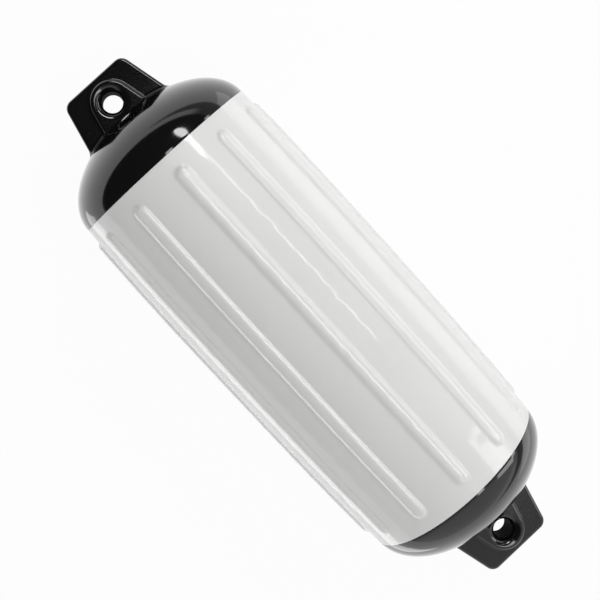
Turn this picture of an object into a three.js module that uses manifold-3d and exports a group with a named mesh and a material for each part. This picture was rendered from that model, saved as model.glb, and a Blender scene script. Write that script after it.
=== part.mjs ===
// A pneumatic boat fender: a white ribbed vinyl barrel between two black domed ends. Each end is one
// moulding with a flat lug, and a rope eye passes through a thicker pad on the lug. An inflation valve
// is pressed into a boss on the barrel. Sizes are in millimetres. The fender lies along X, on two
// neighbouring ribs, with Z up.
import * as THREE from 'three';
import { mergeVertices } from 'three/addons/utils/BufferGeometryUtils.js';
import Module from 'manifold-3d';

const wasm = await Module();
wasm.setup();

// Barrel
const BARREL_RADIUS = 127; // between the ribs, at mid-length
const BARREL_LENGTH = 516; // from one colour line to the other
const END_DROP = 4.6; // radius lost from mid-length to the colour line
const DROP_POWER = 3; // how late the barrel starts to narrow
const SEAM_GAP = 0.3; // between the barrel and an end

// Ribs
const RIB_COUNT = 12;
const RIB_WIDTH = 21;
const RIB_HEIGHT = 4;
const RIB_MARGIN = 17.5; // from a rib's tip to the colour line

// Domed ends
const DOME_HEIGHT = 71.5; // from the colour line to the crown

// Lugs
const LUG_REACH = 124; // from the colour line to the lug's tip
const LUG_TIP_WIDTH = 89;
const LUG_FLARE = THREE.MathUtils.degToRad(13.8); // each side's lean from the fender's axis
const LUG_CORNER = 12; // radius of the two outer corners
const LUG_SINK = 41; // how far the lug's root lies below the crown
const PLATE_THICKNESS = 36;
const PLATE_EDGE = 4; // rounding of the plate's rim

// Rope eyes
const EYE_DIAMETER = 24.6;
const EYE_SETBACK = 34; // from the lug's tip to the eye's centre
const EYE_LIP = 9; // rounding of the eye's mouth
const PAD_THICKNESS = 54;
const PAD_RADIUS = 26; // round the eye, at the plate
const PAD_SLOPE = 4; // width of the pad's sloping rim

// Inflation valve
const VALVE_INSET = 60; // from the colour line to the valve's centre
const VALVE_PITCHES = -3.5; // rib pitches from the lug's face to the valve
const VALVE_CLEARANCE = 0.3;
const FLANGE_RADIUS = 9;
const FLANGE_THICKNESS = 2;
const STEM_RADIUS = 5.5;
const STEM_LENGTH = 10;
const BULB_RADIUS = 7;
const BULB_LENGTH = 5;
const BULB_CHAMFER = 1.5;
const NEEDLE_RADIUS = 0.6;
const NEEDLE_DEPTH = 8;
const FUNNEL_RADIUS = 1.6;
const BOSS_RADIUS = 15;
const BOSS_HEIGHT = 2;
const BOSS_ROUNDING = 1.5;
const BOSS_ROOT = 14; // from the boss's face to its foot inside the barrel

// Fineness of the round surfaces
const RIB_STEPS = 6; // columns across a rib
const GAP_STEPS = 4; // columns between two ribs
const TIP_STEPS = 3; // rows round a rib's tip
const BARREL_STEPS = 5; // rows along the ribs
const DOME_SEGMENTS = 72;
const DOME_STEPS = 13;
const ROUND_SEGMENTS = 36;
const ARC_STEPS = 4;
const RIM_STEPS = 3; // rows round a slab's rim

// Derived sizes
const HALF_BARREL = BARREL_LENGTH / 2;
const END_RADIUS = BARREL_RADIUS - END_DROP;
const RIB_PITCH = (2 * Math.PI) / RIB_COUNT;
const RIB_HALF_ANGLE = Math.asin(RIB_WIDTH / 2 / BARREL_RADIUS);
const RIB_TIP = HALF_BARREL - RIB_MARGIN;
const EYE_X = LUG_REACH - EYE_SETBACK;

const WHITE_VINYL = { color: 0xe4e4e2, roughness: 0.35, metalness: 0 };
const BLACK_VINYL = { color: 0x101010, roughness: 0.2, metalness: 0 };
const VALVE_RUBBER = { color: 0x2b2b2b, roughness: 0.6, metalness: 0 };

// Points on an arc about (x, y), both ends included.
function arc(x, y, radius, from, to, steps = ARC_STEPS) {
  return Array.from({ length: steps + 1 }, (_, i) => {
    const angle = from + ((to - from) * i) / steps;
    return new THREE.Vector2(x + radius * Math.cos(angle), y + radius * Math.sin(angle));
  });
}

// A closed geometry with its shared corners merged, as a solid that can be joined and cut.
function toSolid(geometry) {
  const bare = geometry.index ? geometry.toNonIndexed() : geometry.clone();
  bare.deleteAttribute('normal');
  bare.deleteAttribute('uv');
  const merged = mergeVertices(bare, 1e-4);
  const corners = merged.index.array;
  const triVerts = [];
  for (let i = 0; i < corners.length; i += 3) {
    const [a, b, c] = corners.slice(i, i + 3);
    if (a !== b && b !== c && c !== a) triVerts.push(a, b, c);
  }
  return new wasm.Manifold(new wasm.Mesh({
    numProp: 3,
    vertProperties: new Float32Array(merged.attributes.position.array),
    triVerts: new Uint32Array(triVerts),
  }));
}

function toGeometry(solid) {
  const mesh = solid.getMesh();
  const geometry = new THREE.BufferGeometry();
  geometry.setAttribute('position', new THREE.BufferAttribute(mesh.vertProperties, 3));
  geometry.setIndex(new THREE.BufferAttribute(mesh.triVerts, 1));
  geometry.computeVertexNormals();
  return geometry;
}

// The shell's radius between the ribs at a distance from mid-length.
function shellRadius(x) {
  return BARREL_RADIUS - END_DROP * (Math.abs(x) / HALF_BARREL) ** DROP_POWER;
}

// A rib is a bead with a circular section and round tips. Its height depends on the distance from
// the rib's centre line.
function ribHeight(across, x) {
  const half = RIB_WIDTH / 2;
  const past = Math.max(0, Math.abs(x) - (RIB_TIP - half));
  const distance = Math.min(Math.hypot(across, past), half);
  const bead = (half ** 2 + RIB_HEIGHT ** 2) / (2 * RIB_HEIGHT);
  return Math.sqrt(bead ** 2 - distance ** 2) - (bead - RIB_HEIGHT);
}

// Column angles of one rib and the gap after it, measured from the rib's centre line.
function ribColumns() {
  const across = Array.from({ length: RIB_STEPS }, (_, i) => RIB_HALF_ANGLE * ((2 * i) / RIB_STEPS - 1));
  const gap = RIB_PITCH - 2 * RIB_HALF_ANGLE;
  const between = Array.from({ length: GAP_STEPS }, (_, i) => RIB_HALF_ANGLE + (gap * i) / GAP_STEPS);
  return [...across, ...between];
}

// Row places from mid-length to one end of the barrel.
function barrelRows() {
  const half = RIB_WIDTH / 2;
  const straight = RIB_TIP - half;
  const rows = Array.from({ length: BARREL_STEPS }, (_, i) => (straight * i) / BARREL_STEPS);
  for (let i = 0; i <= TIP_STEPS; i += 1) {
    rows.push(straight + half * Math.sin((Math.PI / 2) * (i / TIP_STEPS)));
  }
  rows.push(HALF_BARREL - SEAM_GAP / 2);
  return rows;
}

// The barrel is a lathe shape about X whose corners are moved to the columns and raised on the ribs.
function barrelSolid() {
  const half = barrelRows();
  const rows = [...half.slice(1).reverse().map((x) => -x), ...half];
  const last = rows.length - 1;
  const profile = [
    new THREE.Vector2(0, rows[0]),
    ...rows.map((x) => new THREE.Vector2(shellRadius(x), x)),
    new THREE.Vector2(0, rows[last]),
  ];
  const columns = ribColumns();
  const geometry = new THREE.LatheGeometry(profile, RIB_COUNT * columns.length);
  const place = geometry.attributes.position;
  for (let i = 0; i < place.count; i += 1) {
    const column = Math.floor(i / profile.length);
    const rib = Math.floor(column / columns.length);
    const offset = columns[column % columns.length];
    const angle = rib * RIB_PITCH + offset;
    const x = place.getY(i);
    const shell = profile[i % profile.length].x;
    const wide = Math.abs(offset) < RIB_HALF_ANGLE ? BARREL_RADIUS * Math.sin(offset) : RIB_WIDTH / 2;
    const radius = shell === 0 ? 0 : shell + ribHeight(wide, x);
    place.setXYZ(i, x, -radius * Math.sin(angle), radius * Math.cos(angle));
  }
  return toSolid(geometry);
}

// Lathe shapes with their axis along Z.
function turned(points) {
  return toSolid(new THREE.LatheGeometry(points, ROUND_SEGMENTS).rotateX(Math.PI / 2));
}

// Outer half-profile of the valve's body, grown by a clearance, from its inner end to its flange.
function valveProfile(grow) {
  const shoulder = -FLANGE_THICKNESS - STEM_LENGTH;
  const inner = shoulder - BULB_LENGTH;
  return [
    new THREE.Vector2(0, inner - grow),
    new THREE.Vector2(BULB_RADIUS - BULB_CHAMFER + grow, inner - grow),
    new THREE.Vector2(BULB_RADIUS + grow, inner + BULB_CHAMFER),
    new THREE.Vector2(BULB_RADIUS + grow, shoulder - BULB_CHAMFER),
    new THREE.Vector2(STEM_RADIUS + grow, shoulder),
    new THREE.Vector2(STEM_RADIUS + grow, -FLANGE_THICKNESS - grow),
    new THREE.Vector2(FLANGE_RADIUS + grow, -FLANGE_THICKNESS - grow),
  ];
}

function valveSolid() {
  return turned([
    ...valveProfile(0),
    new THREE.Vector2(FLANGE_RADIUS, 0),
    new THREE.Vector2(FUNNEL_RADIUS, 0),
    new THREE.Vector2(NEEDLE_RADIUS, -FLANGE_THICKNESS),
    new THREE.Vector2(NEEDLE_RADIUS, -NEEDLE_DEPTH),
    new THREE.Vector2(0, -NEEDLE_DEPTH),
  ]);
}

function socketSolid() {
  return turned([
    ...valveProfile(VALVE_CLEARANCE),
    new THREE.Vector2(FLANGE_RADIUS + VALVE_CLEARANCE, BOSS_HEIGHT),
    new THREE.Vector2(0, BOSS_HEIGHT),
  ]);
}

// The boss stands on the shell and reaches down into it.
function bossSolid() {
  return turned([
    new THREE.Vector2(0, -BOSS_ROOT),
    new THREE.Vector2(BOSS_RADIUS, -BOSS_ROOT),
    ...arc(BOSS_RADIUS - BOSS_ROUNDING, -BOSS_ROUNDING, BOSS_ROUNDING, 0, Math.PI / 2),
    new THREE.Vector2(0, 0),
  ]);
}

// Where the valve's outer face lies, with its axis square to the shell.
function valvePlace() {
  const x = -(HALF_BARREL - VALVE_INSET);
  const angle = VALVE_PITCHES * RIB_PITCH;
  const radius = shellRadius(x) + BOSS_HEIGHT;
  const turn = new THREE.Matrix4().makeRotationX(-angle);
  return turn.multiply(new THREE.Matrix4().makeTranslation(x, 0, radius));
}

// The dome is half an ellipsoid on the colour line, with its axis along X.
function domeSolid() {
  const base = SEAM_GAP / 2;
  const start = Math.asin(base / DOME_HEIGHT);
  const profile = Array.from({ length: DOME_STEPS + 1 }, (_, i) => {
    const angle = start + ((Math.PI / 2 - start) * i) / DOME_STEPS;
    return new THREE.Vector2(END_RADIUS * Math.cos(angle), DOME_HEIGHT * Math.sin(angle));
  });
  profile[DOME_STEPS].x = 0;
  const geometry = new THREE.LatheGeometry([new THREE.Vector2(0, base), ...profile], DOME_SEGMENTS);
  return toSolid(geometry.rotateZ(-Math.PI / 2));
}

// The lug's outline: a trapezium that flares towards the dome, with round outer corners.
function lugOutline() {
  const root = DOME_HEIGHT - LUG_SINK;
  const rootHalf = LUG_TIP_WIDTH / 2 + (LUG_REACH - root) * Math.tan(LUG_FLARE);
  const cornerX = LUG_REACH - LUG_CORNER;
  const cornerY = LUG_TIP_WIDTH / 2 - LUG_CORNER * Math.tan(Math.PI / 4 - LUG_FLARE / 2);
  const upper = arc(cornerX, cornerY, LUG_CORNER, 0, Math.PI / 2 - LUG_FLARE);
  const lower = upper.map((point) => new THREE.Vector2(point.x, -point.y)).reverse();
  const outline = [...lower, ...upper, new THREE.Vector2(root, rootHalf), new THREE.Vector2(root, -rootHalf)];
  return new THREE.Shape(outline);
}

// The pad's outline: round the eye, with legs that run with the lug's sides into the dome.
function padOutline() {
  const root = DOME_HEIGHT - LUG_SINK;
  const quarter = Math.PI / 2 - LUG_FLARE;
  const round = arc(EYE_X, 0, PAD_RADIUS, -quarter, quarter, 3 * ARC_STEPS);
  const leg = round[round.length - 1];
  const rootHalf = leg.y + (leg.x - root) * Math.tan(LUG_FLARE);
  return new THREE.Shape([...round, new THREE.Vector2(root, rootHalf), new THREE.Vector2(root, -rootHalf)]);
}

// An outline extruded to a thickness about its middle plane, with rounded rims that stay inside it.
function slab(outline, thickness, rimWidth, rimHeight) {
  const geometry = new THREE.ExtrudeGeometry(outline, {
    depth: thickness - 2 * rimHeight,
    bevelSize: rimWidth,
    bevelThickness: rimHeight,
    bevelOffset: -rimWidth,
    bevelSegments: RIM_STEPS,
    curveSegments: 1,
  });
  return toSolid(geometry.translate(0, 0, rimHeight - thickness / 2));
}

// The space of the rope eye, with a rounded mouth at both faces of the pad.
function eyeSolid() {
  const radius = EYE_DIAMETER / 2;
  const face = PAD_THICKNESS / 2;
  const straight = face - EYE_LIP;
  const mouth = radius + EYE_LIP;
  return turned([
    new THREE.Vector2(0, -face - EYE_LIP),
    new THREE.Vector2(mouth, -face - EYE_LIP),
    ...arc(mouth, -straight, EYE_LIP, -Math.PI / 2, -Math.PI),
    ...arc(mouth, straight, EYE_LIP, Math.PI, Math.PI / 2),
    new THREE.Vector2(mouth, face + EYE_LIP),
    new THREE.Vector2(0, face + EYE_LIP),
  ]).translate([EYE_X, 0, 0]);
}

function endGeometry() {
  const padStep = (PAD_THICKNESS - PLATE_THICKNESS) / 2;
  const plate = slab(lugOutline(), PLATE_THICKNESS, PLATE_EDGE, PLATE_EDGE);
  const pad = slab(padOutline(), PAD_THICKNESS, PAD_SLOPE, padStep);
  return toGeometry(domeSolid().add(plate).add(pad).subtract(eyeSolid()));
}

function barrelGeometry() {
  const place = valvePlace();
  const boss = bossSolid().transform(place.elements);
  const socket = socketSolid().transform(place.elements);
  return toGeometry(barrelSolid().add(boss).subtract(socket));
}

function named(name, geometry, look) {
  const mesh = new THREE.Mesh(geometry, new THREE.MeshStandardMaterial(look));
  mesh.name = name;
  return mesh;
}

const barrel = named('barrel', barrelGeometry(), WHITE_VINYL);

const upperEnd = named('upper_end', endGeometry(), BLACK_VINYL);
upperEnd.position.x = -HALF_BARREL;
upperEnd.rotation.z = Math.PI;

const lowerEnd = named('lower_end', endGeometry(), BLACK_VINYL);
lowerEnd.position.x = HALF_BARREL;

const needleValve = named('needle_valve', toGeometry(valveSolid()), VALVE_RUBBER);
needleValve.applyMatrix4(valvePlace());

// Half a rib pitch of roll brings two ribs level, and the fender rests on them.
const fender = new THREE.Group();
fender.add(barrel, upperEnd, lowerEnd, needleValve);
fender.rotation.x = -RIB_PITCH / 2;
fender.updateMatrixWorld(true);
fender.position.z = -new THREE.Box3().setFromObject(fender, true).min.z;
fender.updateMatrixWorld(true);

export default fender;
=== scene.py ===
# %% [markdown]
# # A pneumatic boat fender
#
# This lesson dresses a ribbed, inflatable boat fender in Blender. The fender is a white vinyl barrel
# between two glossy black ends, and each end carries a flat lug with a rope eye. The solid model is
# loaded first as a fixed frame. Every visible piece below is a fine surface worked out with numpy,
# which takes the place of one plain solid and stays in the same spot. A whole grid
# of points is computed at once, so a shape is a short formula.

# %% Load the frame
import bmesh
import bpy
import math
import numpy as np
from mathutils import Matrix, Vector


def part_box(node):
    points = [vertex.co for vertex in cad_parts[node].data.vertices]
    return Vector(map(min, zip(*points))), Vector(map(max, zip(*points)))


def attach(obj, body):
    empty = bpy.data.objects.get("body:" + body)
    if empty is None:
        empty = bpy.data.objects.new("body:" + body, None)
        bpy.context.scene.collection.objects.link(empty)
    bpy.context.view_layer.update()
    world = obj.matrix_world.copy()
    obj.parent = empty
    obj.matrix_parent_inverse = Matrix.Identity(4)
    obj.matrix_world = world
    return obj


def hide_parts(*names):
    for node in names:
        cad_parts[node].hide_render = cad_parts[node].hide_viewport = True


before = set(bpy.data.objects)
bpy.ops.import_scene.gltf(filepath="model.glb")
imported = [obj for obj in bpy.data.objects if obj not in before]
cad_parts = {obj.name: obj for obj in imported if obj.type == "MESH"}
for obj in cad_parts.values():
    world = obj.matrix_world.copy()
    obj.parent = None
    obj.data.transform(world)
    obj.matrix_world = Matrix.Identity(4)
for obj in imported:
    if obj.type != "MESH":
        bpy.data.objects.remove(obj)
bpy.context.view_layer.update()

# %% [markdown]
# ## Sizes
#
# The shapes are worked out in millimetres and turned to metres when they go into a mesh. The barrel's
# place is read from the frame, and the other sizes are the mould's own: the radius of the barrel,
# the ribs that run along it, the domes, the lugs and the eyes. A rib is a bead 20.6 mm wide and
# 3.9 mm high, whose sides lean with RIB_SLOPE.

# %% The mould's sizes, in millimetres
METRE = 1000.0

BARREL_RADIUS = 127.0
END_DROP = 4.6
DROP_POWER = 3.0
SEAM_GAP = 0.3

RIB_COUNT = 12
RIB_WIDTH = 20.6
RIB_HEIGHT = 3.9
RIB_MARGIN = 17.5
RIB_SLOPE = 0.8
RIB_CROWN = 4.0
RIB_SHOULDER = 1.2
RIB_FILLET = 0.5

DOME_HEIGHT = 71.5

LUG_REACH = 124.0
LUG_TIP_WIDTH = 89.0
LUG_FLARE = math.radians(13.8)
LUG_CORNER = 12.0
PLATE_HALF = 18.0
PLATE_EDGE = 4.0
PLATE_INSET = 0.02
LUG_FILLET = 5.0

EYE_RADIUS = 12.3
EYE_SETBACK = 34.0
EYE_LIP = 9.0
PAD_HALF = 27.0
PAD_RADIUS = 26.0
PAD_EDGE = 4.2
PAD_FOOT = 2.0

barrel_low, barrel_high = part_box("barrel")
AXIS_HEIGHT = (barrel_low[2] + barrel_high[2]) / 2 * METRE
HALF_BARREL = barrel_high[0] * METRE + SEAM_GAP / 2
END_RADIUS = BARREL_RADIUS - END_DROP
RIB_PITCH = 2 * math.pi / RIB_COUNT
RIB_HALF = RIB_WIDTH / 2
RIB_TIP = HALF_BARREL - RIB_MARGIN
EYE_X = LUG_REACH - EYE_SETBACK
ROLL = RIB_PITCH / 2
print(f"axis {AXIS_HEIGHT:.1f} mm above the floor, colour lines {HALF_BARREL:.1f} mm from the middle")

# %% [markdown]
# ## From a grid of points to a mesh
#
# Each surface is a grid of points: the columns run once round it, and the rows run along it. One
# helper joins neighbouring points with four-sided faces. Where a surface isn't closed on itself along
# its rows, its first and last rows are closed with a fan of triangles about their middle point.
# A fender that rests on two ribs is rolled by half a rib pitch, and one more helper does that.

# %% Helpers for surfaces
def grid_faces(rows, columns, ring=False):
    """Faces between neighbouring points of a grid whose columns close on themselves.

    Point (i, j) has number i * columns + j. With ring, the last row joins the first.
    """
    i = np.arange(rows if ring else rows - 1)[:, None]
    j = np.arange(columns)[None, :]
    below, above = i * columns, ((i + 1) % rows) * columns
    right = (j + 1) % columns
    corners = np.stack([below + j, below + right, above + right, above + j], axis=-1)
    return corners.reshape(-1, 4).tolist()


def fan_faces(start, columns, pole):
    """Triangles between one row of points and a single point in its middle."""
    j = np.arange(columns)
    return np.stack([start + j, start + (j + 1) % columns, np.full(columns, pole)], axis=-1).tolist()


def surface(points, ring=False):
    """Corners and faces of one closed surface from a grid of shape (rows, columns, 3)."""
    rows, columns, _ = points.shape
    corners = points.reshape(-1, 3)
    faces = grid_faces(rows, columns, ring=ring)
    if not ring:
        poles = points[[0, -1]].mean(axis=1)
        corners = np.vstack([corners, poles])
        faces += fan_faces(0, columns, rows * columns)
        faces += fan_faces((rows - 1) * columns, columns, rows * columns + 1)
    return corners, faces


def rolled(points):
    """Points of the upright fender, turned about its axis by half a rib pitch and lifted to the floor."""
    x, y, z = np.moveaxis(points, -1, 0)
    c, s = math.cos(ROLL), math.sin(ROLL)
    return np.stack([x, y * c + z * s, AXIS_HEIGHT - y * s + z * c], axis=-1)


def add_piece(name, surfaces, material, node):
    """One object from several closed surfaces in millimetres, standing for a node of the frame."""
    corners, faces, count = [], [], 0
    for points, quads in surfaces:
        corners.append(points)
        faces += [[index + count for index in face] for face in quads]
        count += len(points)
    mesh = bpy.data.meshes.new(name)
    mesh.from_pydata((np.vstack(corners) / METRE).tolist(), [], faces)
    mesh.validate()
    piece = bpy.data.objects.new(name, mesh)
    bpy.context.collection.objects.link(piece)
    point_outwards(mesh)
    mesh.shade_smooth()
    mesh.materials.append(material)
    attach(piece, "root")
    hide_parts(node)
    print(f"{name}: {len(mesh.vertices)} points, {len(mesh.polygons)} faces")
    return piece


def point_outwards(mesh):
    """Turns the faces of each closed shell to point away from its inside."""
    edit = bmesh.new()
    edit.from_mesh(mesh)
    bmesh.ops.recalc_face_normals(edit, faces=edit.faces)
    edit.to_mesh(mesh)
    edit.free()


# %% [markdown]
# ## Finishes
#
# The barrel and the ends are plasticised PVC, the soft vinyl of inflatable toys, moulded in a polished
# mould. White vinyl has a satin face that scatters most of the light, and a skin of gloss on top.
# Black vinyl shows almost nothing but that gloss, so its slight orange peel matters most. The valve
# is moulded nitrile rubber, which is matt. Every pattern is sized from a real length: a texture node's
# scale counts patterns in a metre. The orange peel is too fine for points in a mesh, so it is a bump
# in the shading, and only mirrored light shows it.

# %% Colours and a small node helper
def linear(hex_colour):
    """An sRGB hex colour as the linear values that a shader works in."""
    parts = [int(hex_colour[i:i + 2], 16) / 255 for i in (1, 3, 5)]
    return [c / 12.92 if c <= 0.04045 else ((c + 0.055) / 1.055) ** 2.4 for c in parts] + [1.0]


def per_metre(millimetres):
    """A texture's scale for a pattern that repeats after so many millimetres."""
    return METRE / millimetres


def add_node(tree, kind, settings=None, values=None, links=None):
    """One node with its settings, its input values and the sockets that feed it."""
    node = tree.nodes.new(kind)
    for name, value in (settings or {}).items():
        setattr(node, name, value)
    for name, value in (values or {}).items():
        node.inputs[name].default_value = value
    for name, socket in (links or {}).items():
        tree.links.new(socket, node.inputs[name])
    return node


def new_material(name):
    """An empty material, with its node tree, its object coordinates and its output node."""
    material = bpy.data.materials.new(name)
    material.use_nodes = True
    tree = material.node_tree
    tree.nodes.clear()
    place = add_node(tree, "ShaderNodeTexCoord").outputs["Object"]
    output = add_node(tree, "ShaderNodeOutputMaterial")
    return material, tree, place, output


# %% Moulded vinyl, white or black
TINT_DRIFT = 80.0
POLISH_PATCH = 30.0
SKIN_WAVE = 45.0
ORANGE_PEEL = 2.5
COAT_ROUGHNESS = 0.07
VINYL_IOR = 1.53


def moulded_vinyl(name, colour, shade, rough, rough_spread, peel_depth, wave_depth, sheen):
    """Plasticised PVC from a polished mould.

    Its colour drifts a little between two shades over TINT_DRIFT, and its roughness over
    POLISH_PATCH, all in millimetres. Two bumps lie on each other: an orange peel, and slow waves
    where the soft skin gives under its own pressure. Their depths are in millimetres too.
    """
    material, tree, place, output = new_material(name)
    drift = add_node(tree, "ShaderNodeTexNoise", values={"Scale": per_metre(TINT_DRIFT), "Detail": 3.0},
                     links={"Vector": place})
    tint = add_node(tree, "ShaderNodeMix", {"data_type": "RGBA"},
                    links={"Factor": drift.outputs["Fac"]})
    tint.inputs[6].default_value = linear(colour)
    tint.inputs[7].default_value = linear(shade)
    patches = add_node(tree, "ShaderNodeTexNoise",
                       values={"Scale": per_metre(POLISH_PATCH), "Detail": 4.0},
                       links={"Vector": place})
    polish = add_node(tree, "ShaderNodeMapRange",
                      values={"To Min": rough, "To Max": rough + rough_spread},
                      links={"Value": patches.outputs["Fac"]})
    waves = add_node(tree, "ShaderNodeTexNoise", values={"Scale": per_metre(SKIN_WAVE), "Detail": 1.0},
                     links={"Vector": place})
    peel = add_node(tree, "ShaderNodeTexNoise", values={"Scale": per_metre(ORANGE_PEEL), "Detail": 2.0},
                    links={"Vector": place})
    slow = add_node(tree, "ShaderNodeBump", values={"Strength": 1.0, "Distance": wave_depth / METRE},
                    links={"Height": waves.outputs["Fac"]})
    fine = add_node(tree, "ShaderNodeBump", values={"Strength": 1.0, "Distance": peel_depth / METRE},
                    links={"Height": peel.outputs["Fac"], "Normal": slow.outputs["Normal"]})
    vinyl = add_node(tree, "ShaderNodeBsdfPrincipled",
                     values={"IOR": VINYL_IOR, "Coat Weight": sheen, "Coat Roughness": COAT_ROUGHNESS},
                     links={"Base Color": tint.outputs[2], "Roughness": polish.outputs["Result"],
                            "Normal": fine.outputs["Normal"]})
    tree.links.new(vinyl.outputs["BSDF"], output.inputs["Surface"])
    return material


# White vinyl is satin below and glossy on top. Black vinyl is polished, as the mirrored paper shows.
white_vinyl = moulded_vinyl("moulded_white_pvc", "#e4e4e3", "#dfdfde", rough=0.34, rough_spread=0.08,
                            peel_depth=0.008, wave_depth=0.5, sheen=0.9)
black_vinyl = moulded_vinyl("moulded_black_pvc", "#0c0c0d", "#101011", rough=0.08, rough_spread=0.05,
                            peel_depth=0.004, wave_depth=0.25, sheen=0.5)

# The throat of an eye gets a darker, matt black with almost no gloss: painted shade for the dark inside of
# the eye.
throat_shade_black_vinyl = moulded_vinyl("black_pvc_painted_throat_shade", "#070708", "#0a0a0a", rough=0.6,
                                 rough_spread=0.1, peel_depth=0.03, wave_depth=0.1, sheen=0.0)
throat_shade_gloss = throat_shade_black_vinyl.node_tree.nodes["Principled BSDF"].inputs["Specular IOR Level"]
throat_shade_gloss.default_value = 0.02

# %% Moulded nitrile rubber for the valve
GRAIN = 0.5
GRAIN_DEPTH = 0.02
RUBBER_IOR = 1.52


def moulded_rubber(name, colour, rough, rough_spread):
    """Nitrile rubber with the fine grain of a spark-eroded mould, in millimetres. It leaves it matt."""
    material, tree, place, output = new_material(name)
    grain = add_node(tree, "ShaderNodeTexNoise", values={"Scale": per_metre(GRAIN), "Detail": 2.0},
                     links={"Vector": place})
    bump = add_node(tree, "ShaderNodeBump", values={"Strength": 1.0, "Distance": GRAIN_DEPTH / METRE},
                    links={"Height": grain.outputs["Fac"]})
    polish = add_node(tree, "ShaderNodeMapRange",
                      values={"To Min": rough, "To Max": rough + rough_spread},
                      links={"Value": grain.outputs["Fac"]})
    rubber = add_node(tree, "ShaderNodeBsdfPrincipled",
                      values={"Base Color": linear(colour), "IOR": RUBBER_IOR},
                      links={"Roughness": polish.outputs["Result"], "Normal": bump.outputs["Normal"]})
    tree.links.new(rubber.outputs["BSDF"], output.inputs["Surface"])
    return material


nitrile_rubber = moulded_rubber("moulded_nitrile_rubber", "#2a2a2b", rough=0.5, rough_spread=0.15)
print("materials:", white_vinyl.name, black_vinyl.name, throat_shade_black_vinyl.name, nitrile_rubber.name)

# %% [markdown]
# ## The ribbed barrel
#
# On the real fender the barrel is blown out against a mould, so its ribs are part of the skin. The
# surface is a radius that depends on two things: the angle round the axis and the place along it.
# The radius is largest at mid-length and falls off late, as an inflated skin does. A rib adds a bead
# with a nearly flat crown, straight leaning sides and round tips, and a small hollow fillet runs along
# its foot. Each of these catches the light in its own way: the crown and the side that faces the light
# as bright lines, and the side that turns away as a dark one. Slow waves, a tenth or two of a
# millimetre high, make the highlights wander as they do on soft vinyl.

# %% The barrel's radius
SLACK_FADE = 60.0
SKIN_INSET = 0.44


def shell_radius(x):
    """The radius between the ribs: it loses END_DROP by the colour line, with the cube of the distance."""
    return BARREL_RADIUS - END_DROP * (np.abs(x) / HALF_BARREL) ** DROP_POWER


def soft_positive(value, softness):
    """The value where it's over zero and zero below, with a soft bend between the two."""
    return (value + np.sqrt(value ** 2 + softness ** 2)) / 2


def bead_height(distance):
    """A bead with a nearly flat crown and straight leaning sides, that runs out into the shell.

    A roof whose ridge is round rises from the foot with RIB_SLOPE. It is cut off at RIB_HEIGHT with a
    soft shoulder, and it meets the shell with a soft fillet.
    """
    def section(d):
        roof = RIB_SLOPE * (math.hypot(RIB_HALF, RIB_CROWN) - np.hypot(d, RIB_CROWN))
        return soft_positive(RIB_HEIGHT - soft_positive(RIB_HEIGHT - roof, RIB_SHOULDER), RIB_FILLET)
    return RIB_HEIGHT * section(distance) / section(0.0)


def slack(angle, x):
    """Slow waves of the soft skin: four products of two sines, with lengths of 29 to 210 mm.

    The lengths along the barrel and the heights are in millimetres. The fourth wave is the shortest,
    and its phase and height drift. All fade out within SLACK_FADE of the colour lines. SKIN_INSET
    sinks the skin a little, so that the waves' tops stay inside the solid's box.
    """
    arc = angle * BARREL_RADIUS
    first = np.sin(2 * np.pi * x / 97 + 1.3) * np.cos(4 * angle + 0.6)
    second = np.sin(2 * np.pi * x / 71 + 0.4 * np.sin(3 * angle)) * np.cos(7 * angle + 2.1)
    third = np.cos(2 * np.pi * x / 210 + 2.6) * np.sin(3 * angle + arc / 400)
    drift = 2 * np.sin(x / 53) + 3 * np.sin(5 * angle + 0.8)
    fourth = np.sin(2 * np.pi * x / 29 + drift) * np.cos(22 * angle + 1.5 * np.sin(x / 31))
    swell = 0.65 + 0.35 * np.sin(x / 19 + 7 * angle)
    fade = np.clip((HALF_BARREL - np.abs(x)) / SLACK_FADE, 0, 1)
    return fade * (0.05 * first + 0.04 * second + 0.06 * third + 0.14 * swell * fourth - SKIN_INSET)


def spread(count, *stops):
    """Even steps between each pair of stops, each stop once. count is a number or one for each gap."""
    counts = count if isinstance(count, (list, tuple)) else [count] * (len(stops) - 1)
    parts = [np.linspace(a, b, n, endpoint=False) for a, b, n in zip(stops, stops[1:], counts)]
    return np.concatenate(parts + [[stops[-1]]])


# %% [markdown]
# ## The barrel's grid
#
# The grid's columns are close together on a rib and further apart between two ribs. Its rows are close
# together at the ribs' tips and at the colour lines. The height of a rib at a point depends on how far
# the point lies from the rib's middle line, which ends short of the tip, so the tips come out round.
# At each colour line the skin turns inward round a small edge and runs to a wall inside the fender.

# %% The barrel's skin
RIB_COLUMNS = 26
GAP_COLUMNS = 10
ROWS_ALONG = 78
ROWS_AT_TIP = 14
ROWS_PAST_TIP = 5
ROWS_AT_EDGE = 6
RIB_FOOT = 1.35
TIP_SPARE = 4.0
EDGE_STRIP = 6.0
EDGE_ROUND = 0.5
WALL = 6.0

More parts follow.
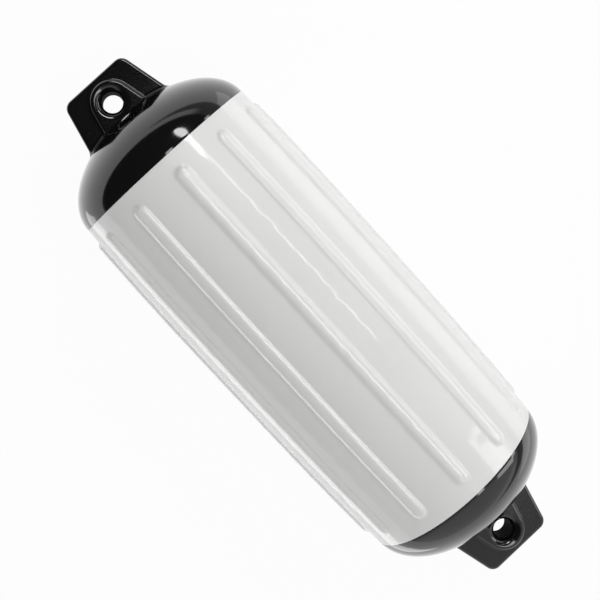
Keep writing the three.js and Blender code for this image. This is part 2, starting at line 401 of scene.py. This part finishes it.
foot_angle = RIB_FOOT * (RIB_HALF / BARREL_RADIUS)
one_pitch = spread([RIB_COLUMNS, GAP_COLUMNS], -foot_angle, foot_angle, RIB_PITCH - foot_angle)[:-1]
angles = (np.arange(RIB_COUNT)[:, None] * RIB_PITCH + one_pitch[None, :]).ravel()
straight = RIB_TIP - RIB_HALF
edge = HALF_BARREL - SEAM_GAP / 2
half_rows = spread([ROWS_ALONG, ROWS_AT_TIP, ROWS_PAST_TIP, ROWS_AT_EDGE],
                   0, straight - TIP_SPARE, RIB_TIP + TIP_SPARE, edge - EDGE_STRIP, edge - EDGE_ROUND)
rows = np.concatenate([-half_rows[:0:-1], half_rows])
across = (angles + RIB_PITCH / 2) % RIB_PITCH - RIB_PITCH / 2
past = np.maximum(np.abs(rows) - straight, 0)
distance = np.hypot(across[None, :] * BARREL_RADIUS, past[:, None])
radius = shell_radius(rows)[:, None] + bead_height(distance) + slack(angles[None, :], rows[:, None])
print(f"barrel: {len(rows)} rows of {len(angles)} columns, {radius.max():.2f} mm at its widest")


def about_axis(x, r, angle):
    """Points at a radius and an angle about the fender's axis. Angle 0 is the lugs' facing side."""
    x, r, angle = np.broadcast_arrays(x, r, angle)
    return np.stack([x, r * np.sin(angle), r * np.cos(angle)], axis=-1)


turn = spread(5, 0, np.pi / 2)[1:, None]
lip_radius = END_RADIUS - EDGE_ROUND * (1 - np.cos(turn))
lip_x = edge - EDGE_ROUND * (1 - np.sin(turn))
upper_lip = about_axis(-lip_x[::-1], lip_radius[::-1], angles[None, :])
lower_lip = about_axis(lip_x, lip_radius, angles[None, :])
inner = about_axis(np.array([[edge]]), END_RADIUS - WALL, angles[None, :])
skin = about_axis(rows[:, None], radius, angles[None, :])
barrel_points = np.concatenate([inner * [-1, 1, 1], upper_lip, skin, lower_lip, inner])
print("barrel grid:", barrel_points.shape)

# %% [markdown]
# ## The valve and its boss
#
# The fender is blown up through a rubber needle valve, as a football is. Where the valve sits, the
# barrel's mould has a round boss. Both are round about the valve's own axis, which is square to the
# barrel, so each is a half-profile carried round that axis. The boss bends down with the barrel at its
# foot. It is part of the barrel's skin, so it goes into the same mesh. The valve is a stem with a
# flange. Its face has a shallow ring groove, and a funnel in the middle leads the needle in.

# %% Half-profiles round the valve's axis
VALVE_INSET = 60.0
VALVE_ANGLE = -3.5 * RIB_PITCH
BOSS_HEIGHT = 2.0
BOSS_RADIUS = 15.0
BOSS_DRAFT = 0.6
BOSS_FOOT = 1.6
BOSS_SKIRT = 3.0
BOSS_DEPTH = 1.5
BOSS_SINK = 0.1
BOSS_FILLET = 0.4
BOSS_ROUND = 0.45
BOSS_COLUMNS = 96

FLANGE_RADIUS = 9.0
FLANGE_THICKNESS = 2.0
VALVE_CLEARANCE = 0.3
VALVE_ROUND = 0.3
VALVE_COLUMNS = 64
STEM_RADIUS = 5.5
STEM_DEPTH = 14.0
GROOVE_OUTER = 7.4
GROOVE_INNER = 4.8
GROOVE_SIDE = 0.4
GROOVE_DEPTH = 0.45
BUTTON_RISE = 0.08
FUNNEL_RADIUS = 2.4
FUNNEL_DEPTH = 1.6
NEEDLE_RADIUS = 0.7
NEEDLE_DEPTH = 6.0

valve_x = -(HALF_BARREL - VALVE_INSET)
valve_radius = float(shell_radius(valve_x)) + BOSS_HEIGHT


def rounded(points, radius, steps=5):
    """A half-profile of (radius, height) corners whose inner corners are cut to short curves."""
    out = [points[0]]
    for before, corner, after in zip(points, points[1:], points[2:]):
        before, corner, after = map(np.array, (before, corner, after))
        start = corner + (before - corner) / np.linalg.norm(before - corner) * radius
        end = corner + (after - corner) / np.linalg.norm(after - corner) * radius
        t = np.linspace(0, 1, steps)[:, None]
        out += ((1 - t) ** 2 * start + 2 * t * (1 - t) * corner + t ** 2 * end).tolist()
    out.append(points[-1])
    return np.array(out)


def about_valve(profile, columns, bend=False):
    """A half-profile carried round the valve's axis. With bend, it sinks with the barrel's curve."""
    turn = np.linspace(0, 2 * np.pi, columns, endpoint=False)[None, :]
    r, height = profile[:, 0][:, None], profile[:, 1][:, None]
    x = valve_x + r * np.cos(turn)
    side = r * np.sin(turn)
    sunk = BARREL_RADIUS - np.sqrt(BARREL_RADIUS ** 2 - side ** 2) if bend else 0 * side
    weight = np.clip((r - FLANGE_RADIUS) / (BOSS_RADIUS - FLANGE_RADIUS), 0, 1)
    z = valve_radius + height - sunk * weight
    c, s = math.cos(VALVE_ANGLE), math.sin(VALVE_ANGLE)
    return np.stack([x, side * c + z * s, -side * s + z * c], axis=-1)


seat_radius = FLANGE_RADIUS + VALVE_CLEARANCE
boss_profile = rounded([(BOSS_RADIUS + BOSS_SKIRT, -BOSS_HEIGHT - BOSS_DEPTH),
                        (BOSS_RADIUS + BOSS_FOOT, -BOSS_HEIGHT - BOSS_SINK),
                        (BOSS_RADIUS, -BOSS_HEIGHT + BOSS_FILLET),
                        (BOSS_RADIUS - BOSS_DRAFT, 0.0),
                        (seat_radius, 0.0),
                        (seat_radius, -BOSS_HEIGHT - BOSS_DEPTH)], BOSS_ROUND)
valve_profile = rounded([(0.0, -STEM_DEPTH),
                         (STEM_RADIUS, -STEM_DEPTH),
                         (STEM_RADIUS, -FLANGE_THICKNESS),
                         (FLANGE_RADIUS, -FLANGE_THICKNESS),
                         (FLANGE_RADIUS, 0.0),
                         (GROOVE_OUTER, 0.0),
                         (GROOVE_OUTER - GROOVE_SIDE, -GROOVE_DEPTH),
                         (GROOVE_INNER + GROOVE_SIDE, -GROOVE_DEPTH),
                         (GROOVE_INNER, BUTTON_RISE),
                         (FUNNEL_RADIUS, BUTTON_RISE),
                         (NEEDLE_RADIUS, -FUNNEL_DEPTH),
                         (NEEDLE_RADIUS, -NEEDLE_DEPTH),
                         (0.0, -NEEDLE_DEPTH)], VALVE_ROUND)
boss_points = rolled(about_valve(boss_profile, BOSS_COLUMNS, bend=True))
valve_points = rolled(about_valve(valve_profile, VALVE_COLUMNS))

add_piece("barrel_skin", [surface(rolled(barrel_points)), surface(boss_points, ring=True)],
          white_vinyl, "barrel")
add_piece("needle_valve_body", [surface(valve_points)], nitrile_rubber, "needle_valve")

# %% [markdown]
# ## The domed ends
#
# An end is one thick moulding. Its dome is half an ellipsoid, a profile carried round the fender's
# axis. The dome's foot runs on under the barrel's edge, so the colour line is drawn by the barrel's
# own crisp edge, as where one vinyl was fused over the other.

# %% The dome
FOOT_DEPTH = 9.0
FOOT_CHAMFER = 1.0
FOOT_END = 1.2
FOOT_STEP = 0.35
DOME_INSET = 0.05
DOME_ROWS = 70
DOME_COLUMNS = 288
FIRST_RISE = 0.02
LAST_RISE = np.pi / 2 - 0.01


def dome_points(columns):
    """Half an ellipsoid about the axis, after a foot that lies just inside the barrel's skin."""
    rise = spread(DOME_ROWS, FIRST_RISE, LAST_RISE)
    x = np.concatenate([[-FOOT_DEPTH, -FOOT_DEPTH + FOOT_CHAMFER, -FOOT_END], DOME_HEIGHT * np.sin(rise)])
    r = np.concatenate([[END_RADIUS - WALL, END_RADIUS - FOOT_STEP, END_RADIUS - FOOT_STEP],
                        (END_RADIUS - DOME_INSET) * np.cos(rise)])
    turn = np.linspace(0, 2 * np.pi, columns, endpoint=False)
    return about_axis(x[:, None], r[:, None], turn[None, :])


dome_corners, dome_faces = surface(dome_points(DOME_COLUMNS))
print(f"dome: {len(dome_corners)} points, {len(dome_faces)} faces")

# %% [markdown]
# ## The lug
#
# On the real moulding the plate, the pad and the dome run into each other through hollow fillets, and
# every outer edge is round. A glossy black surface shows each of these as a line of light, so the lug
# is described by a distance instead of by a grid. The distance is zero on its surface, less than zero
# inside and more outside. An outline's distance and the height above the middle plane make a slab
# with round edges. The lesser of two distances joins two bodies, and the greater cuts. A hollow
# fillet is a quarter circle between the two distances.

# %% Distances
def outline_distance(x, y, corners):
    """Distance from a closed outline of straight sides: the least over its sides, less than 0 inside."""
    nearest = np.full(x.shape, np.inf)
    inside = np.zeros(x.shape, bool)
    for (ax, ay), (bx, by) in zip(corners, corners[1:] + corners[:1]):
        side_x, side_y = bx - ax, by - ay
        along = (x - ax) * side_x + (y - ay) * side_y
        share = np.clip(along / (side_x ** 2 + side_y ** 2), 0, 1)
        nearest = np.minimum(nearest, np.hypot(x - ax - share * side_x, y - ay - share * side_y))
        crosses = (ay > y) != (by > y)
        inside ^= crosses & (x < ax + (y - ay) * side_x / (side_y if side_y else 1.0))
    return np.where(inside, -nearest, nearest)


def slab(across, height, half, edge):
    """A slab of half a thickness on both sides of the middle plane, with its edges rounded."""
    a, b = across + edge, np.abs(height) - half + edge
    return np.hypot(np.maximum(a, 0), np.maximum(b, 0)) + np.minimum(np.maximum(a, b), 0) - edge


def joined(one, other, fillet):
    """Two bodies in one, with a hollow quarter circle of that radius in the corner between them."""
    hollow = np.hypot(np.maximum(fillet - one, 0), np.maximum(fillet - other, 0))
    return np.maximum(fillet, np.minimum(one, other)) - hollow


# %% The lug's body
LEAN = math.tan(LUG_FLARE)
ROOT_X = 28.0
CORNER_Y = LUG_TIP_WIDTH / 2 - LUG_CORNER * math.tan(math.pi / 4 - LUG_FLARE / 2)
CORNER_X = LUG_REACH - LUG_CORNER
PLATE_ROOT = CORNER_Y + (CORNER_X - ROOT_X) * LEAN
PAD_ROOT = (EYE_X - ROOT_X) * LEAN
DOME_SINK = 0.06
SKIRT_REACH = 9.0
SKIRT_DEPTH = 5.0
plate_corners = [(CORNER_X, -CORNER_Y), (CORNER_X, CORNER_Y), (ROOT_X, PLATE_ROOT), (ROOT_X, -PLATE_ROOT)]
pad_corners = [(EYE_X, 0.0), (ROOT_X, PAD_ROOT), (ROOT_X, -PAD_ROOT)]


def lug_distance(points):
    """Plate and pad with the eye through both, joined to the dome.

    The plate is an outline grown by its corner radius, and the pad one grown by its own radius. Only a
    skirt of the dome is kept, SKIRT_REACH from the lug and SKIRT_DEPTH deep. It lies DOME_SINK under
    the dome's own surface, so the fillet runs out into the dome without a step.
    """
    x, y, z = points
    plate_side = outline_distance(x, y, plate_corners) - LUG_CORNER + PLATE_INSET
    plate = slab(plate_side, z, PLATE_HALF, PLATE_EDGE)
    pad = slab(outline_distance(x, y, pad_corners) - PAD_RADIUS, z, PAD_HALF, PAD_EDGE)
    body = joined(plate, pad, PAD_FOOT)
    level = np.sqrt((x / DOME_HEIGHT) ** 2 + (y ** 2 + z ** 2) / END_RADIUS ** 2)
    slope = np.sqrt((x / DOME_HEIGHT ** 2) ** 2 + (y ** 2 + z ** 2) / END_RADIUS ** 4)
    dome = (level - 1) * level / np.maximum(slope, 1e-6) + DOME_SINK
    eye = slab(EYE_RADIUS - np.hypot(x - EYE_X, y), z, PAD_HALF, EYE_LIP)
    skirt = np.maximum(body - SKIRT_REACH, -dome - SKIRT_DEPTH)
    return np.maximum(np.maximum(joined(body, dome, LUG_FILLET), skirt), eye)


# %% [markdown]
# ## From a distance to a mesh
#
# A grid of small boxes is laid over the lug. Each box that the surface passes through gets one point,
# which is then moved onto the surface along the slope of the distance. The slope is also the direction
# in which the surface faces, so the shading is exact and doesn't depend on the size of the boxes.

# %% Points and faces where the distance is zero
GRID_STEP = 0.8
GRID_LOW = (24.0, -76.0, -38.0)
GRID_HIGH = (LUG_REACH + 2.0, 76.0, 38.0)


def towards_surface(distance, points, steps=5, small=0.01):
    """Moves points along the slope of a distance until they lie on its zero, and gives the slope there."""
    for _ in range(steps):
        shifts = small * np.eye(3)[:, :, None]
        slope = np.stack([distance(points + s) - distance(points - s) for s in shifts]) / (2 * small)
        length = np.maximum((slope ** 2).sum(axis=0), 0.2)
        points = points - np.clip(distance(points) / length, -1, 1) * slope
    return points, slope / np.sqrt((slope ** 2).sum(axis=0))


def zero_surface(distance, low, high, step):
    """One point in each box of a grid that the surface passes through, and a face round each cut edge.

    A box counts when its eight corners aren't all on one side. An edge of the grid is cut when its two
    ends are on different sides, and the four boxes round it are then joined by a face.
    """
    axes = [np.arange(a, b + step, step) for a, b in zip(low, high)]
    value = distance(np.stack(np.meshgrid(*axes, indexing="ij")))
    inside = value < 0
    boxes = [slice(None, -1), slice(1, None)]
    corners = [inside[a, b, c] for a in boxes for b in boxes for c in boxes]
    mixed = np.logical_or.reduce(corners) & ~np.logical_and.reduce(corners)
    number = np.full(mixed.shape, -1)
    number[mixed] = np.arange(mixed.sum())
    places = np.argwhere(mixed)
    middle = np.stack([axes[k][places[:, k]] + step / 2 for k in range(3)])
    points, normals = towards_surface(distance, middle)
    faces = []
    for k in range(3):
        u, v = (k + 1) % 3, (k + 2) % 3
        first = np.moveaxis(inside, (k, u, v), (0, 1, 2))
        box = np.moveaxis(number, (k, u, v), (0, 1, 2))
        cut = (first[:-1] != first[1:])[:, 1:-1, 1:-1]
        ring = [box[:, :-1, :-1][cut], box[:, 1:, :-1][cut], box[:, 1:, 1:][cut], box[:, :-1, 1:][cut]]
        quads = np.stack(ring, axis=-1)
        leaving = first[:-1][:, 1:-1, 1:-1][cut]
        faces.append(np.where(leaving[:, None], quads, quads[:, ::-1]))
    return points.T, normals.T, np.concatenate(faces)


lug_points, lug_normals, lug_faces = zero_surface(lug_distance, GRID_LOW, GRID_HIGH, GRID_STEP)
print(f"lug: {len(lug_points)} points, {len(lug_faces)} faces")

# %% [markdown]
# ## Both ends
#
# The upper and the lower end come from one mould, so one dome and one lug serve both: the upper end is
# turned half round. The faces in the throat of the eye get the darker matt vinyl, which paints the
# throat's shade. The lug's exact facing directions are stored on its points, and the dome keeps the ones
# that its faces give.

# %% The two ends
THROAT_RIM = 2.5
THROAT_RISE = 3.0


def turned(points, towards):
    """An end's points with its dome facing outward: the upper end is turned half round."""
    x, y, z = np.moveaxis(points, -1, 0)
    return rolled(np.stack([towards * x, towards * y, z], axis=-1)) - [0, 0, AXIS_HEIGHT]


def placed(points, towards):
    """An end's points, turned and then moved to the colour line."""
    return turned(points, towards) + [towards * HALF_BARREL, 0, AXIS_HEIGHT]


# The throat's faces get painted shade: a darker black with almost no gloss.
in_eye = np.hypot(lug_points[:, 0] - EYE_X, lug_points[:, 1]) < EYE_RADIUS + THROAT_RIM
throat = in_eye & (np.abs(lug_points[:, 2]) < PAD_HALF - EYE_LIP + THROAT_RISE)
throat_face = throat[lug_faces].all(axis=1)

for end_name, towards in (("upper_end", -1), ("lower_end", 1)):
    lug_shell = (placed(lug_points, towards), lug_faces.tolist())
    dome_shell = (placed(dome_corners, towards), dome_faces)
    end = add_piece(end_name + "_moulding", [dome_shell, lug_shell], black_vinyl, end_name)
    # The second material paints shade into the throat of the eye.
    end.data.materials.append(throat_shade_black_vinyl)
    matt = np.concatenate([np.zeros(len(dome_faces), np.int32), throat_face.astype(np.int32)])
    end.data.polygons.foreach_set("material_index", matt)
    normals = np.array([vertex.normal for vertex in end.data.vertices])
    normals[len(dome_corners):] = turned(lug_normals, towards)
    end.data.normals_split_custom_set_from_vertices(normals)
    end.data.update()

# %% [markdown]
# ## The paper and the room
#
# The fender lies on white paper. What the camera and the glossy vinyl see of the paper is nearly pure
# white, with a trace of the fender's shadow, and the paper still scatters light like real paper. In
# mirrors it ends 0.75 m away towards +Y, and a darker room begins there, which leaves a soft step in
# the tone of the barrel beside its third rib. The room is dark behind the upper end and grey behind the
# lower one, so the upper dome shows a band of white paper with black above it, and the lower one is
# dark grey.

# %% The paper
FAR_ROOM = 0.22
PAPER_EDGE = 0.75
PAPER_SOFTNESS = 0.1
TABLE_HALF = 12.0


def seen_directly(tree):
    """1 for what the camera, a mirror or clear glass sees, and 0 for light that is scattered on."""
    path = add_node(tree, "ShaderNodeLightPath").outputs
    pair = add_node(tree, "ShaderNodeMath", {"operation": "MAXIMUM"})
    tree.links.new(path["Is Camera Ray"], pair.inputs[0])
    tree.links.new(path["Is Glossy Ray"], pair.inputs[1])
    seen = add_node(tree, "ShaderNodeMath", {"operation": "MAXIMUM"})
    tree.links.new(pair.outputs["Value"], seen.inputs[0])
    tree.links.new(path["Is Transmission Ray"], seen.inputs[1])
    return seen.outputs["Value"]


def paper_material(whiteness):
    """White paper that looks that much like a pure white and keeps the rest for its own shading.

    Mirrors see it end at PAPER_EDGE towards +Y, within PAPER_SOFTNESS, where the darker room begins.
    """
    material, tree, place, output = new_material("matt_white_paper")
    parts = add_node(tree, "ShaderNodeSeparateXYZ", links={"Vector": place})
    ending = add_node(tree, "ShaderNodeMapRange", {"interpolation_type": "SMOOTHSTEP"},
                      {"From Min": PAPER_EDGE, "From Max": PAPER_EDGE + PAPER_SOFTNESS,
                       "To Min": 1.0, "To Max": FAR_ROOM},
                      {"Value": parts.outputs["Y"]})
    glow = add_node(tree, "ShaderNodeMath", {"operation": "MAXIMUM"})
    tree.links.new(ending.outputs["Result"], glow.inputs[0])
    tree.links.new(add_node(tree, "ShaderNodeLightPath").outputs["Is Camera Ray"], glow.inputs[1])
    paper = add_node(tree, "ShaderNodeBsdfDiffuse", values={"Color": linear("#f2f2f2")})
    white = add_node(tree, "ShaderNodeEmission", values={"Color": linear("#ffffff")},
                     links={"Strength": glow.outputs["Value"]})
    share = add_node(tree, "ShaderNodeMath", {"operation": "MULTIPLY"})
    share.inputs[1].default_value = whiteness
    tree.links.new(seen_directly(tree), share.inputs[0])
    both = add_node(tree, "ShaderNodeMixShader", links={"Fac": share.outputs["Value"]})
    tree.links.new(paper.outputs["BSDF"], both.inputs[1])
    tree.links.new(white.outputs["Emission"], both.inputs[2])
    tree.links.new(both.outputs["Shader"], output.inputs["Surface"])
    return material


table_mesh = bpy.data.meshes.new("table")
table_mesh.from_pydata([(-TABLE_HALF, -TABLE_HALF, 0), (TABLE_HALF, -TABLE_HALF, 0),
                        (TABLE_HALF, TABLE_HALF, 0), (-TABLE_HALF, TABLE_HALF, 0)], [], [(0, 1, 2, 3)])
table = bpy.data.objects.new("table", table_mesh)
bpy.context.collection.objects.link(table)
table_mesh.materials.append(paper_material(whiteness=0.955))
print("table:", 2 * TABLE_HALF, "m wide")

# %% The room
SCREEN_FULL = 0.13
SCREEN_TOP = 0.16
GAP_START = 0.72
GAP_FULL = 0.92


def room_light(dark, bright, turn_from, turn_to):
    """A room that goes from dark behind the upper end to bright behind the lower end.

    A low white screen stands round the table, up to about nine degrees above it, with a darker gap
    towards +Y. All limits are the parts of a direction of length one.
    """
    world = bpy.data.worlds.new("room")
    bpy.context.scene.world = world
    world.use_nodes = True
    tree = world.node_tree
    tree.nodes.clear()
    way = add_node(tree, "ShaderNodeTexCoord").outputs["Generated"]
    parts = add_node(tree, "ShaderNodeSeparateXYZ", links={"Vector": way})
    sky = add_node(tree, "ShaderNodeMapRange", {"interpolation_type": "SMOOTHSTEP"},
                   {"From Min": turn_from, "From Max": turn_to, "To Min": dark, "To Max": bright},
                   {"Value": parts.outputs["X"]})
    screen = add_node(tree, "ShaderNodeMapRange", {"interpolation_type": "SMOOTHSTEP"},
                      {"From Min": SCREEN_FULL, "From Max": SCREEN_TOP, "To Min": 1.0, "To Max": 0.0},
                      {"Value": parts.outputs["Z"]})
    gap = add_node(tree, "ShaderNodeMapRange", {"interpolation_type": "SMOOTHSTEP"},
                   {"From Min": GAP_START, "From Max": GAP_FULL, "To Min": 1.0, "To Max": FAR_ROOM},
                   {"Value": parts.outputs["Y"]})
    open_screen = add_node(tree, "ShaderNodeMath", {"operation": "MULTIPLY"})
    tree.links.new(screen.outputs["Result"], open_screen.inputs[0])
    tree.links.new(gap.outputs["Result"], open_screen.inputs[1])
    level = add_node(tree, "ShaderNodeMath", {"operation": "MAXIMUM"})
    tree.links.new(sky.outputs["Result"], level.inputs[0])
    tree.links.new(open_screen.outputs["Value"], level.inputs[1])
    room = add_node(tree, "ShaderNodeBackground", values={"Color": linear("#ffffff")},
                    links={"Strength": level.outputs["Value"]})
    backdrop = add_node(tree, "ShaderNodeBackground",
                        values={"Color": linear("#ffffff"), "Strength": 1.0})
    camera_ray = add_node(tree, "ShaderNodeLightPath").outputs["Is Camera Ray"]
    both = add_node(tree, "ShaderNodeMixShader", links={"Fac": camera_ray})
    tree.links.new(room.outputs["Background"], both.inputs[1])
    tree.links.new(backdrop.outputs["Background"], both.inputs[2])
    output = add_node(tree, "ShaderNodeOutputWorld")
    tree.links.new(both.outputs["Shader"], output.inputs["Surface"])


room_light(dark=0.03, bright=0.75, turn_from=0.0, turn_to=0.6)
print("room: screen up to", round(math.degrees(math.asin(SCREEN_TOP)), 1), "degrees")

# %% [markdown]
# ## The lamps
#
# Long soft lamps stand beside the fender, and the barrel takes its tones from them. A glossy surface
# shows a lamp where it faces halfway between the lamp and the camera, and that settles where each lamp
# stands. The crest lamp draws the line along the ribs on the left. The low lamp lies in the third rib's
# crown. The thin strip lamp makes the streak that wanders between the second and the third rib. The
# spot lamp leaves the bright spot by the upper end, and the end lamp the bright patch by the lower one.
# Three wide lamps only add scattered light, from above and from both sides. Two bright patches on the
# paper are mirrored in the steep sides of the barrel and draw its long edges.

# %% Lamps beside the fender
AXIS = np.array([0.0, 0.0, AXIS_HEIGHT / METRE])
PATCH_HEIGHT = 0.004


def towards_sky(lean):
    """A direction square to the fender's axis, which leans from straight up towards +Y, in degrees."""
    return np.array([0.0, math.sin(math.radians(lean)), math.cos(math.radians(lean))])


def area_lamp(name, length, width, glow, outline="RECTANGLE"):
    """A flat lamp. Its glow is the brightness that a mirror would show, where 1 is white."""
    lamp = bpy.data.lights.new(name, "AREA")
    lamp.shape = outline
    lamp.size = length
    lamp.size_y = width
    lamp.energy = glow * math.pi * length * width
    holder = bpy.data.objects.new(name, lamp)
    bpy.context.collection.objects.link(holder)
    return holder


def soft_lamp(name, lean, centre_x, distance, length, width, glow, mirrored=True, scattered=True,
              outline="RECTANGLE"):
    """A lamp beside the fender, its length along the fender, facing its axis. Lengths are in metres.

    A lamp that isn't mirrored stands for light that reaches the fender from all over the room. One that
    isn't scattered shows only as a highlight.
    """
    holder = area_lamp(name, length, width, glow, outline)
    back = towards_sky(lean)
    sideways = np.array([1.0, 0.0, 0.0])
    place = AXIS + distance * back + centre_x * sideways
    lamp_axes = Matrix([sideways, np.cross(back, sideways), back]).transposed().to_4x4()
    holder.matrix_world = Matrix.Translation(Vector(place)) @ lamp_axes
    holder.visible_glossy = mirrored
    holder.visible_diffuse = scattered


def bright_patch(name, x_from, x_to, y_from, y_to, glow):
    """A patch of bright light on the paper, as a window throws it. Only mirrors show it."""
    holder = area_lamp(name, x_to - x_from, y_to - y_from, glow)
    holder.location = ((x_from + x_to) / 2, (y_from + y_to) / 2, PATCH_HEIGHT)
    holder.rotation_euler = (math.pi, 0, 0)
    holder.visible_camera = False
    holder.visible_diffuse = False


soft_lamp("spot_lamp", lean=47, centre_x=-1.08, distance=2.0, length=1.44, width=0.4, glow=8.0,
          outline="ELLIPSE")
soft_lamp("strip_lamp", lean=50, centre_x=-0.02, distance=2.0, length=0.86, width=0.06, glow=6.0)
soft_lamp("crest_lamp", lean=22.6, centre_x=0.29, distance=2.0, length=1.42, width=0.31, glow=4.6)
soft_lamp("top_lamp", lean=6, centre_x=0.0, distance=2.2, length=1.6, width=1.6, glow=0.85,
          mirrored=False)
soft_lamp("low_lamp", lean=79, centre_x=0.27, distance=1.8, length=1.3, width=0.22, glow=3.4)
soft_lamp("end_lamp", lean=64, centre_x=1.21, distance=2.0, length=0.6, width=1.1, glow=2.8,
          scattered=False)
soft_lamp("right_lamp", lean=74, centre_x=0.6, distance=1.8, length=1.4, width=1.0, glow=0.87,
          mirrored=False)
soft_lamp("left_lamp", lean=-60, centre_x=0.0, distance=1.8, length=1.4, width=1.1, glow=0.95,
          mirrored=False)
bright_patch("left_patch", x_from=-0.4, x_to=0.8, y_from=-0.85, y_to=-0.38, glow=1.4)
bright_patch("right_patch", x_from=-0.4, x_to=0.9, y_from=0.3, y_to=0.74, glow=0.6)
print("lamps:", sorted(lamp.name for lamp in bpy.data.lights))

# %% [markdown]
# ## The camera
#
# The camera looks down at the fender from 1.46 m, leaned 12.7 degrees to the side, from a place nearer
# to the upper end. So the upper end looks larger, and the lugs are seen nearly square to their faces.
# It is rolled until the fender runs from the upper left to the lower right. The focal length is given in
# pixels of a picture 600 pixels wide, and the lens in millimetres follows from it.

# %% The camera's place, aim and roll
CAMERA_LEAN = 12.7
CAMERA_DISTANCE = 1.4597
CAMERA_ALONG = -0.2044
AIM_ALONG = -0.0277
AIM_SIDE = 0.0065
CAMERA_ROLL = math.radians(-42.5)
FOCAL_PIXELS = 1218.7
FRAME_PIXELS = 600
SENSOR = 36.0

out = towards_sky(CAMERA_LEAN)
upper_way = np.array([-1.0, 0.0, 0.0])
side = np.cross(upper_way, out)
eye = AXIS + CAMERA_DISTANCE * out + np.array([CAMERA_ALONG, 0, 0])
aim = AXIS + AIM_SIDE * side + np.array([AIM_ALONG, 0, 0])
ahead = (aim - eye) / np.linalg.norm(aim - eye)
level_right = np.cross(ahead, upper_way)
level_right /= np.linalg.norm(level_right)
level_up = np.cross(level_right, ahead)
right = math.cos(CAMERA_ROLL) * level_right + math.sin(CAMERA_ROLL) * level_up
up = -math.sin(CAMERA_ROLL) * level_right + math.cos(CAMERA_ROLL) * level_up

camera_data = bpy.data.cameras.new("camera")
camera_data.sensor_fit = "HORIZONTAL"
camera_data.sensor_width = SENSOR
camera_data.lens = FOCAL_PIXELS / FRAME_PIXELS * SENSOR
camera = bpy.data.objects.new("camera", camera_data)
axes = Matrix([right, up, -ahead]).transposed().to_4x4()
camera.matrix_world = Matrix.Translation(Vector(eye)) @ axes
bpy.context.collection.objects.link(camera)
bpy.context.scene.camera = camera
bpy.context.scene.view_settings.view_transform = "Standard"
print("camera lens", round(camera_data.lens, 2), "mm")
